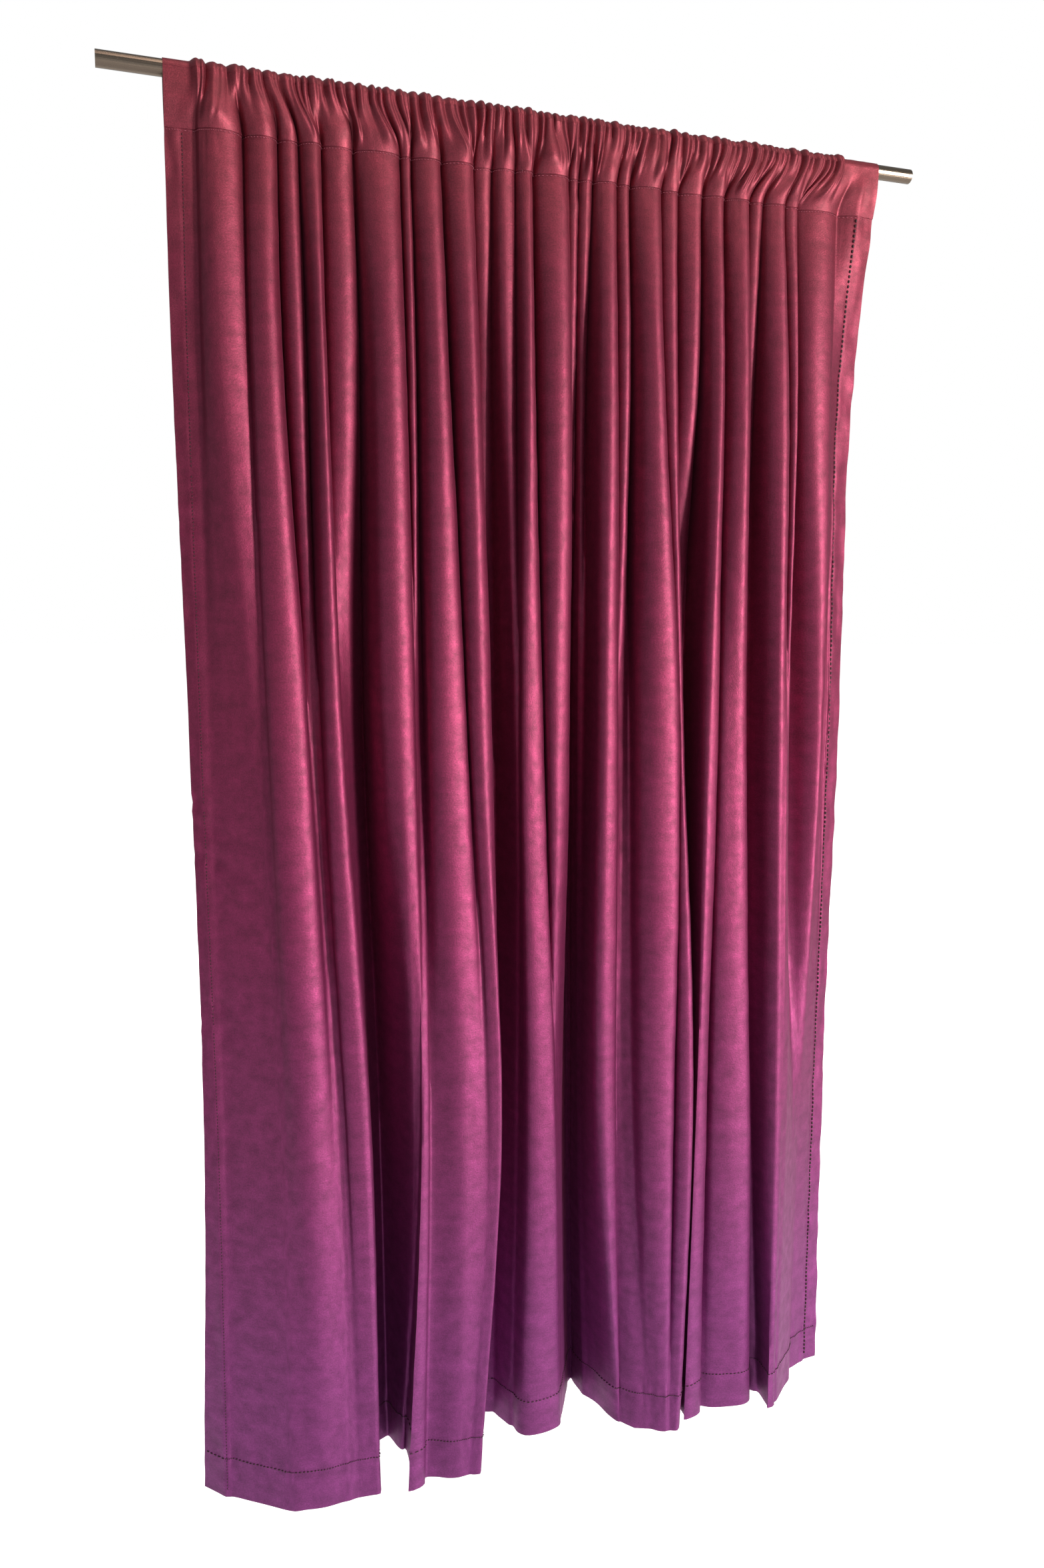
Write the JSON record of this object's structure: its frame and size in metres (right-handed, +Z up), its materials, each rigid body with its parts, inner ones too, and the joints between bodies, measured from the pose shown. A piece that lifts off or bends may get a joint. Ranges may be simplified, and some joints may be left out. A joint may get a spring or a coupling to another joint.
{
  "type": "curtain panel",
  "caption": "Rod-pocket velvet curtain panel gathered on a round steel rod, hemmed at the sides and bottom, with a centre join seam.",
  "frame": {"origin": "on the rod's axis, half way along the rod, where the pair of brackets carries it", "axes": "+X along the rod, +Y out of the back of the cloth, +Z up"},
  "size_m": [1.46, 0.2163, 2.44],
  "materials": {
    "rod_steel": "satin",
    "velvet_face": "matte",
    "velvet_heading": "matte",
    "velvet_turned": "matte",
    "thread": "matte"
  },
  "bodies": {
    "rod": {"curtain_rod": "rod_steel"},
    "panel": {"rod_pocket": "velvet_heading", "left_width": "velvet_face", "right_width": "velvet_face", "join_seam": "velvet_turned", "bottom_hem": "velvet_turned", "left_side_hem": "velvet_turned", "pocket_stitching": "thread", "bottom_hem_stitching": "thread", "left_hem_stitching": "thread"},
    "leading_edge": {"right_side_hem": "velvet_turned", "right_hem_stitching": "thread"}
  },
  "joints": [
    {"name": "panel_slide", "type": "slide", "parent": "rod", "child": "panel", "axis": [1, 0, 0], "range_m": [-0.085, 0.06]},
    {"name": "gather", "type": "slide", "parent": "panel", "child": "leading_edge", "axis": [1, 0, 0], "range_m": [-0.6, 0], "deforming": ["rod_pocket", "left_width", "right_width", "join_seam", "bottom_hem", "pocket_stitching", "bottom_hem_stitching"]}
  ]
}
